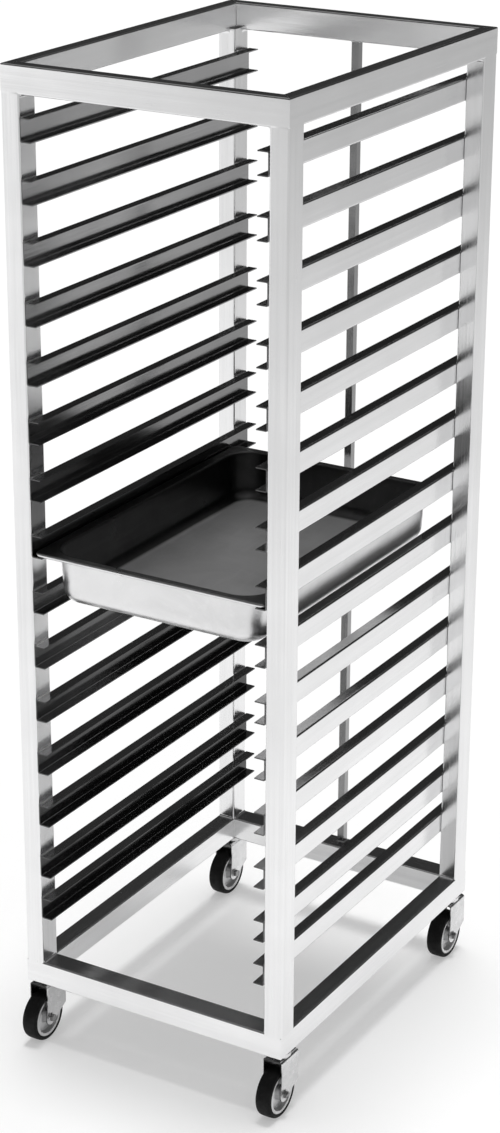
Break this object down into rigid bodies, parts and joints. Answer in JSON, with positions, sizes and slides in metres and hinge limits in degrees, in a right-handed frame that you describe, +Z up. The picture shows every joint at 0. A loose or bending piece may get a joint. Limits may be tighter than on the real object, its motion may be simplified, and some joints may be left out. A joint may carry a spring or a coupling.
{
  "type": "sheet pan rack",
  "caption": "Tall open rack of welded tube on swivel casters, with channel runners down both sides in which sheet pans slide, and a deep pan in the middle.",
  "frame": {"origin": "middle of the footprint, on the floor under the wheels", "axes": "+Z up, -Y is the front where the pans go in, +X is the right side seen from the front"},
  "size_m": [0.544, 0.7415, 1.787],
  "materials": {
    "frame_tube": "satin, lightly brushed tube",
    "runner_sheet": "satin mill finish",
    "pan_sheet": "satin drawn sheet",
    "caster_steel": "bright zinc plate",
    "axle_steel": "dull plated steel",
    "bearing_steel": "polished balls",
    "wheel_core": "as cast, satin",
    "tyre_rubber": "matt black rubber"
  },
  "bodies": {
    "rack": {"front_left_post": "frame_tube", "front_right_post": "frame_tube", "rear_left_post": "frame_tube", "rear_right_post": "frame_tube", "top_front_rail": "frame_tube", "top_rear_rail": "frame_tube", "top_left_rail": "frame_tube", "top_right_rail": "frame_tube", "base_front_rail": "frame_tube", "base_rear_rail": "frame_tube", "base_left_rail": "frame_tube", "base_right_rail": "frame_tube", "rear_stop_bar": "frame_tube", "runner_pair_01": "runner_sheet", "runner_pair_02": "runner_sheet", "runner_pair_03": "runner_sheet", "runner_pair_04": "runner_sheet", "runner_pair_05": "runner_sheet", "runner_pair_06": "runner_sheet", "runner_pair_07": "runner_sheet", "runner_pair_08": "runner_sheet", "runner_pair_09": "runner_sheet", "runner_pair_10": "runner_sheet", "runner_pair_11": "runner_sheet", "runner_pair_12": "runner_sheet", "runner_pair_13": "runner_sheet", "runner_pair_14": "runner_sheet", "runner_pair_15": "runner_sheet", "caster_sockets": "axle_steel", "front_left_caster_stem": "caster_steel", "front_right_caster_stem": "caster_steel", "rear_left_caster_stem": "caster_steel", "rear_right_caster_stem": "caster_steel", "swivel_bearing_balls": "bearing_steel"},
    "pan": {"sheet_pan": "pan_sheet"},
    "front_left_swivel": {"front_left_fork": "caster_steel", "front_left_axle_bolt": "axle_steel", "front_left_axle_nut": "axle_steel", "front_left_axle_sleeve": "axle_steel"},
    "front_left_wheel": {"front_left_wheel_core": "wheel_core", "front_left_tyre": "tyre_rubber"},
    "front_right_swivel": {"front_right_fork": "caster_steel", "front_right_axle_bolt": "axle_steel", "front_right_axle_nut": "axle_steel", "front_right_axle_sleeve": "axle_steel"},
    "front_right_wheel": {"front_right_wheel_core": "wheel_core", "front_right_tyre": "tyre_rubber"},
    "rear_left_swivel": {"rear_left_fork": "caster_steel", "rear_left_axle_bolt": "axle_steel", "rear_left_axle_nut": "axle_steel", "rear_left_axle_sleeve": "axle_steel"},
    "rear_left_wheel": {"rear_left_wheel_core": "wheel_core", "rear_left_tyre": "tyre_rubber"},
    "rear_right_swivel": {"rear_right_fork": "caster_steel", "rear_right_axle_bolt": "axle_steel", "rear_right_axle_nut": "axle_steel", "rear_right_axle_sleeve": "axle_steel"},
    "rear_right_wheel": {"rear_right_wheel_core": "wheel_core", "rear_right_tyre": "tyre_rubber"}
  },
  "joints": [
    {"name": "pan_slide", "type": "slide", "parent": "rack", "child": "pan", "axis": [0, -1, 0], "range_m": [-0.031, 0.68]},
    {"name": "front_left_caster_swivel", "type": "hinge", "parent": "rack", "child": "front_left_swivel", "pos_m": [-0.246, -0.30875, 0.1122], "axis": [0, 0, 1], "continuous": true},
    {"name": "front_left_wheel_spin", "type": "hinge", "parent": "front_left_swivel", "child": "front_left_wheel", "pos_m": [-0.246, -0.32475, 0.046], "axis": [1, 0, 0], "continuous": true},
    {"name": "front_right_caster_swivel", "type": "hinge", "parent": "rack", "child": "front_right_swivel", "pos_m": [0.246, -0.30875, 0.1122], "axis": [0, 0, 1], "continuous": true},
    {"name": "front_right_wheel_spin", "type": "hinge", "parent": "front_right_swivel", "child": "front_right_wheel", "pos_m": [0.246, -0.32475, 0.046], "axis": [1, 0, 0], "continuous": true},
    {"name": "rear_left_caster_swivel", "type": "hinge", "parent": "rack", "child": "rear_left_swivel", "pos_m": [-0.246, 0.33925, 0.1122], "axis": [0, 0, 1], "continuous": true},
    {"name": "rear_left_wheel_spin", "type": "hinge", "parent": "rear_left_swivel", "child": "rear_left_wheel", "pos_m": [-0.246, 0.32325, 0.046], "axis": [1, 0, 0], "continuous": true},
    {"name": "rear_right_caster_swivel", "type": "hinge", "parent": "rack", "child": "rear_right_swivel", "pos_m": [0.246, 0.33925, 0.1122], "axis": [0, 0, 1], "continuous": true},
    {"name": "rear_right_wheel_spin", "type": "hinge", "parent": "rear_right_swivel", "child": "rear_right_wheel", "pos_m": [0.246, 0.32325, 0.046], "axis": [1, 0, 0], "continuous": true}
  ]
}
